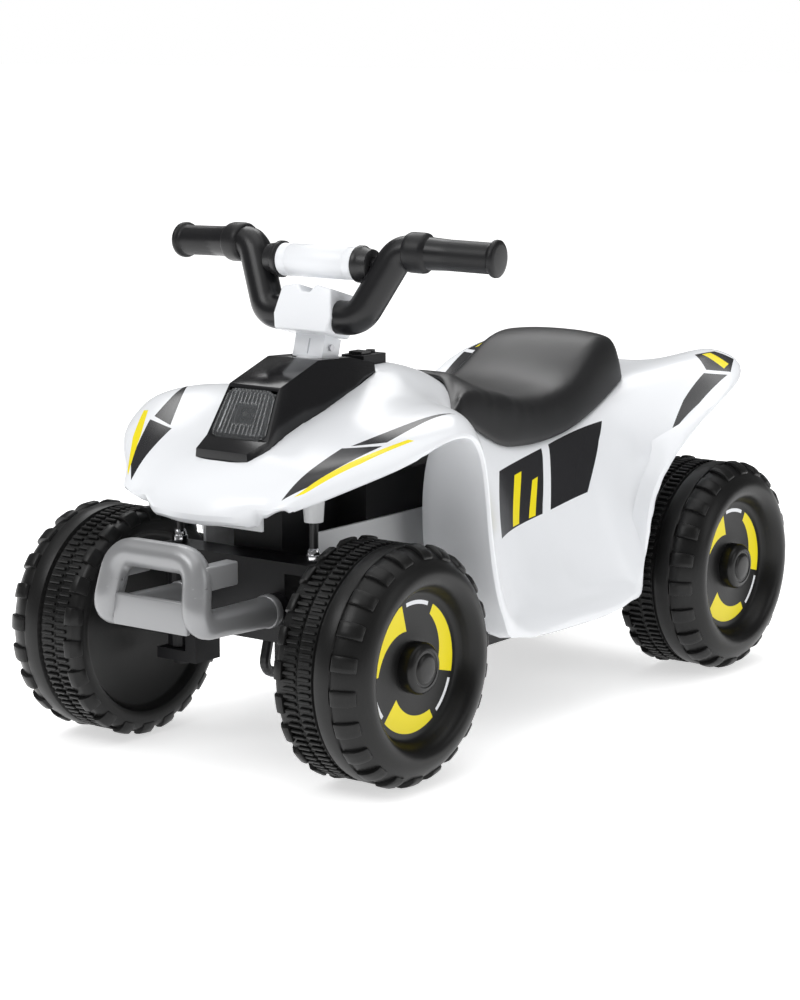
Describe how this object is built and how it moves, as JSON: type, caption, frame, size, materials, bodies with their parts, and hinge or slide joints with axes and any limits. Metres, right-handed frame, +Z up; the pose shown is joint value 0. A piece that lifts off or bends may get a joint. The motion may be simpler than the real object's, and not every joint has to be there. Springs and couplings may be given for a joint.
{
  "type": "ride-on quad bike",
  "caption": "Child's electric quad bike: white moulded body over a dark chassis, steered front wheels, handlebar with padded crossbar, saddle, bumper loop, foot pedal and geared rear drive.",
  "frame": {"origin": "on the floor below the middle of the bike's bounding box", "axes": "+Z up, forward along -Y, the rider's left along +X"},
  "size_m": [0.407, 0.79, 0.4679],
  "materials": {
    "white_plastic": "gloss moulded",
    "black_gloss": "gloss moulded",
    "black_plastic": "fine grain",
    "wheel_plastic": "satin moulded",
    "seat_plastic": "soft matt",
    "silver_plastic": "silver grey",
    "clear_plastic": "ribbed clear",
    "reflector_silver": "metallised",
    "board_green": "lacquered",
    "lamp_clear": "clear",
    "steel": "zinc plated",
    "black_steel": "black",
    "chrome": "bright",
    "grip_rubber": "soft",
    "gear_nylon": "natural",
    "battery_case": "moulded"
  },
  "bodies": {
    "base": {"body_shell": "white_plastic", "cowl": "black_gloss", "headlight_lens": "clear_plastic", "headlight_reflector": "reflector_silver", "lamp_board": "board_green", "lamp_pair": "lamp_clear", "switch_box": "black_plastic", "pedal_base": "black_plastic", "pedal_switch": "black_plastic", "seat": "seat_plastic", "front_panel": "white_plastic", "well_walls": "white_plastic", "bumper": "silver_plastic", "front_beam": "black_plastic", "kingpins": "black_steel", "kingpin_nuts": "chrome", "body_bosses": "white_plastic", "chassis": "black_plastic", "steering_bulkhead": "black_plastic", "rear_axle": "steel", "axle_spacer": "black_plastic", "rear_axle_nuts": "steel", "gearbox_case": "black_plastic", "gearbox_cover": "black_plastic", "motor": "steel", "battery": "battery_case"},
    "knuckle_left": {"knuckle_left": "black_plastic", "axle_nut_left": "steel"},
    "knuckle_right": {"knuckle_right": "black_plastic", "axle_nut_right": "steel"},
    "steering": {"steering_rod": "black_steel", "steering_neck": "white_plastic", "neck_screw": "steel", "clamp_block": "white_plastic", "handlebar": "black_plastic", "crossbar_pad": "white_plastic", "pad_collars": "black_plastic", "grip_left": "grip_rubber", "grip_right": "grip_rubber"},
    "tie": {"tie_rod": "black_plastic"},
    "front_left_wheel": {"wheel_front_left": "wheel_plastic", "hub_cap_front_left": "black_plastic"},
    "front_right_wheel": {"wheel_front_right": "wheel_plastic", "hub_cap_front_right": "black_plastic"},
    "rear_left_wheel": {"wheel_rear_left": "wheel_plastic", "hub_cap_rear_left": "black_plastic"},
    "rear_right_wheel": {"wheel_rear_right": "wheel_plastic", "hub_cap_rear_right": "black_plastic", "output_gear": "gear_nylon"},
    "idler": {"double_gear": "gear_nylon"},
    "pinion": {"motor_pinion": "gear_nylon"},
    "rocker": {"rocker_switch": "black_gloss"},
    "button": {"power_button": "black_gloss"},
    "pedal": {"foot_pedal": "black_plastic"}
  },
  "joints": [
    {"name": "steering_turn", "type": "hinge", "parent": "base", "child": "steering", "pos_m": [0, -0.156, 0.35], "axis": [0, 0.2706, 0.9627], "range_deg": [-32, 32]},
    {"name": "knuckle_left_turn", "type": "hinge", "parent": "base", "child": "knuckle_left", "pos_m": [0.0775, -0.257, 0.133], "axis": [0, 0, 1], "range_deg": [-20, 20]},
    {"name": "knuckle_right_turn", "type": "hinge", "parent": "base", "child": "knuckle_right", "pos_m": [-0.0775, -0.257, 0.133], "axis": [0, 0, 1], "range_deg": [-20, 20]},
    {"name": "tie_slide", "type": "slide", "parent": "base", "child": "tie", "axis": [1, 0, 0], "range_m": [-0.0239, 0.0239]},
    {"name": "front_left_spin", "type": "hinge", "parent": "knuckle_left", "child": "front_left_wheel", "pos_m": [0.1575, -0.257, 0.1075], "axis": [1, 0, 0], "continuous": true},
    {"name": "front_right_spin", "type": "hinge", "parent": "knuckle_right", "child": "front_right_wheel", "pos_m": [-0.1575, -0.257, 0.1075], "axis": [1, 0, 0], "continuous": true},
    {"name": "rear_left_spin", "type": "hinge", "parent": "base", "child": "rear_left_wheel", "pos_m": [0.1575, 0.2875, 0.1075], "axis": [1, 0, 0], "continuous": true},
    {"name": "rear_right_spin", "type": "hinge", "parent": "base", "child": "rear_right_wheel", "pos_m": [-0.1575, 0.2875, 0.1075], "axis": [1, 0, 0], "continuous": true},
    {"name": "idler_spin", "type": "hinge", "parent": "base", "child": "idler", "pos_m": [-0.0734, 0.2495, 0.1219], "axis": [1, 0, 0], "continuous": true},
    {"name": "pinion_spin", "type": "hinge", "parent": "base", "child": "pinion", "pos_m": [-0.0687, 0.222, 0.141], "axis": [1, 0, 0], "continuous": true},
    {"name": "rocker_tilt", "type": "hinge", "parent": "base", "child": "rocker", "pos_m": [0, -0.089, 0.345], "axis": [1, 0, 0], "range_deg": [-8, 8]},
    {"name": "button_press", "type": "slide", "parent": "base", "child": "button", "axis": [0, 0, -1], "range_m": [0, 0.002]},
    {"name": "pedal_press", "type": "hinge", "parent": "base", "child": "pedal", "pos_m": [-0.147, 0.068, 0.124], "axis": [1, 0, 0], "range_deg": [0, 4]}
  ],
  "couplings": [
    {"joint": "knuckle_left_turn", "follows": "steering_turn", "ratio": 0.625},
    {"joint": "knuckle_right_turn", "follows": "steering_turn", "ratio": 0.625},
    {"joint": "tie_slide", "follows": "steering_turn", "m_per_rad": -0.0428},
    {"joint": "idler_spin", "follows": "rear_right_spin", "ratio": -3},
    {"joint": "pinion_spin", "follows": "rear_right_spin", "ratio": 8}
  ]
}
